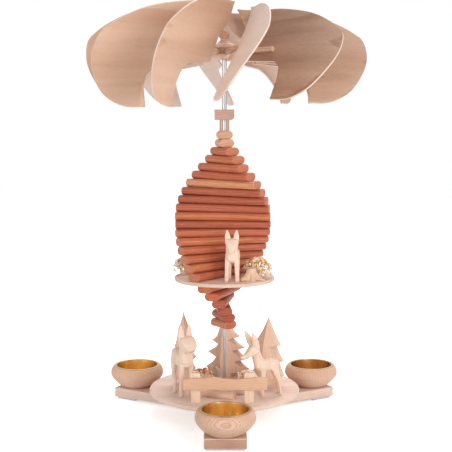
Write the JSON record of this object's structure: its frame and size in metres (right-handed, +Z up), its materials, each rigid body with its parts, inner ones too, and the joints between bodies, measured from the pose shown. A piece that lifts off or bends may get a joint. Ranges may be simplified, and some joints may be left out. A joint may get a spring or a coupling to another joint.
{
  "type": "candle carousel",
  "caption": "Free-standing wooden candle carousel: a winged wheel on a needle spindle turns a spiral of stacked slats and a small stage above a carved forest scene.",
  "frame": {"origin": "on the spin axis at the height of the surface that the three felt pads stand on", "axes": "+Z up along the spin axis, the front arm with its bowl points along -Y, +X to the right when seen from the front"},
  "size_m": [0.2614, 0.2592, 0.3882],
  "materials": {
    "beech": "bare, fine sanded",
    "blade_wood": "bare veneer",
    "slat_wood": "bare, reddish brown",
    "tan_wood": "bare, tan",
    "carved_wood": "bare, sawn",
    "brass": "polished",
    "steel": "drawn",
    "glass": "clear"
  },
  "bodies": {
    "base": {"arm_front": "beech", "arm_right": "beech", "arm_left": "beech", "bowl_front": "beech", "bowl_right": "beech", "bowl_left": "beech", "scene_plate": "beech", "needle_rod": "steel", "deer_left": "carved_wood", "deer_right": "carved_wood", "tree_left": "carved_wood", "tree_middle": "carved_wood", "tree_right": "carved_wood", "fence": "carved_wood", "log": "carved_wood"},
    "rotor": {"spindle_tube": "steel", "slat_01": "tan_wood", "slat_02": "tan_wood", "slat_03": "slat_wood", "slat_04": "slat_wood", "slat_05": "slat_wood", "slat_06": "slat_wood", "slat_07": "slat_wood", "slat_08": "slat_wood", "slat_09": "slat_wood", "slat_10": "slat_wood", "slat_11": "slat_wood", "slat_12": "slat_wood", "slat_13": "slat_wood", "slat_14": "slat_wood", "slat_15": "slat_wood", "slat_16": "slat_wood", "slat_17": "slat_wood", "slat_18": "slat_wood", "slat_19": "slat_wood", "slat_20": "slat_wood", "slat_21": "slat_wood", "slat_22": "slat_wood", "slat_23": "slat_wood", "slat_24": "slat_wood", "stage_plate": "beech", "deer_stage": "carved_wood", "stump": "carved_wood", "driver_block": "tan_wood", "hub": "beech", "hub_cap": "tan_wood", "glass_bearing": "glass"},
    "blade_01": {"blade_01": "blade_wood"},
    "blade_02": {"blade_02": "blade_wood"},
    "blade_03": {"blade_03": "blade_wood"},
    "blade_04": {"blade_04": "blade_wood"},
    "blade_05": {"blade_05": "blade_wood"},
    "blade_06": {"blade_06": "blade_wood"},
    "blade_07": {"blade_07": "blade_wood"},
    "blade_08": {"blade_08": "blade_wood"},
    "blade_09": {"blade_09": "blade_wood"},
    "blade_10": {"blade_10": "blade_wood"},
    "insert_front": {"insert_front": "brass"},
    "insert_right": {"insert_right": "brass"},
    "insert_left": {"insert_left": "brass"}
  },
  "joints": [
    {"name": "rotor_spin", "type": "hinge", "parent": "base", "child": "rotor", "pos_m": [0, 0, 0.3441], "axis": [0, 0, 1], "continuous": true},
    {"name": "blade_01_pitch", "type": "hinge", "parent": "rotor", "child": "blade_01", "pos_m": [0.00188, -0.01185, 0.3425], "axis": [0.1564, -0.9877, 0], "range_deg": [-4, 4]},
    {"name": "blade_02_pitch", "type": "hinge", "parent": "rotor", "child": "blade_02", "pos_m": [0.00848, -0.00848, 0.3425], "axis": [0.7071, -0.7071, 0], "range_deg": [-4, 4]},
    {"name": "blade_03_pitch", "type": "hinge", "parent": "rotor", "child": "blade_03", "pos_m": [0.01185, -0.00188, 0.3425], "axis": [0.9877, -0.1564, 0], "range_deg": [-4, 4]},
    {"name": "blade_04_pitch", "type": "hinge", "parent": "rotor", "child": "blade_04", "pos_m": [0.01069, 0.00545, 0.3425], "axis": [0.891, 0.454, 0], "range_deg": [-4, 4]},
    {"name": "blade_05_pitch", "type": "hinge", "parent": "rotor", "child": "blade_05", "pos_m": [0.00545, 0.01069, 0.3425], "axis": [0.454, 0.891, 0], "range_deg": [-4, 4]},
    {"name": "blade_06_pitch", "type": "hinge", "parent": "rotor", "child": "blade_06", "pos_m": [-0.00188, 0.01185, 0.3425], "axis": [-0.1564, 0.9877, 0], "range_deg": [-4, 4]},
    {"name": "blade_07_pitch", "type": "hinge", "parent": "rotor", "child": "blade_07", "pos_m": [-0.00848, 0.00848, 0.3425], "axis": [-0.7071, 0.7071, 0], "range_deg": [-4, 4]},
    {"name": "blade_08_pitch", "type": "hinge", "parent": "rotor", "child": "blade_08", "pos_m": [-0.01185, 0.00188, 0.3425], "axis": [-0.9877, 0.1564, 0], "range_deg": [-4, 4]},
    {"name": "blade_09_pitch", "type": "hinge", "parent": "rotor", "child": "blade_09", "pos_m": [-0.01069, -0.00545, 0.3425], "axis": [-0.891, -0.454, 0], "range_deg": [-4, 4]},
    {"name": "blade_10_pitch", "type": "hinge", "parent": "rotor", "child": "blade_10", "pos_m": [-0.00545, -0.01069, 0.3425], "axis": [-0.454, -0.891, 0], "range_deg": [-4, 4]},
    {"name": "insert_front_lift", "type": "slide", "parent": "base", "child": "insert_front", "axis": [0, 0, 1], "range_m": [0, 0.03]},
    {"name": "insert_right_lift", "type": "slide", "parent": "base", "child": "insert_right", "axis": [0, 0, 1], "range_m": [0, 0.03]},
    {"name": "insert_left_lift", "type": "slide", "parent": "base", "child": "insert_left", "axis": [0, 0, 1], "range_m": [0, 0.03]}
  ]
}
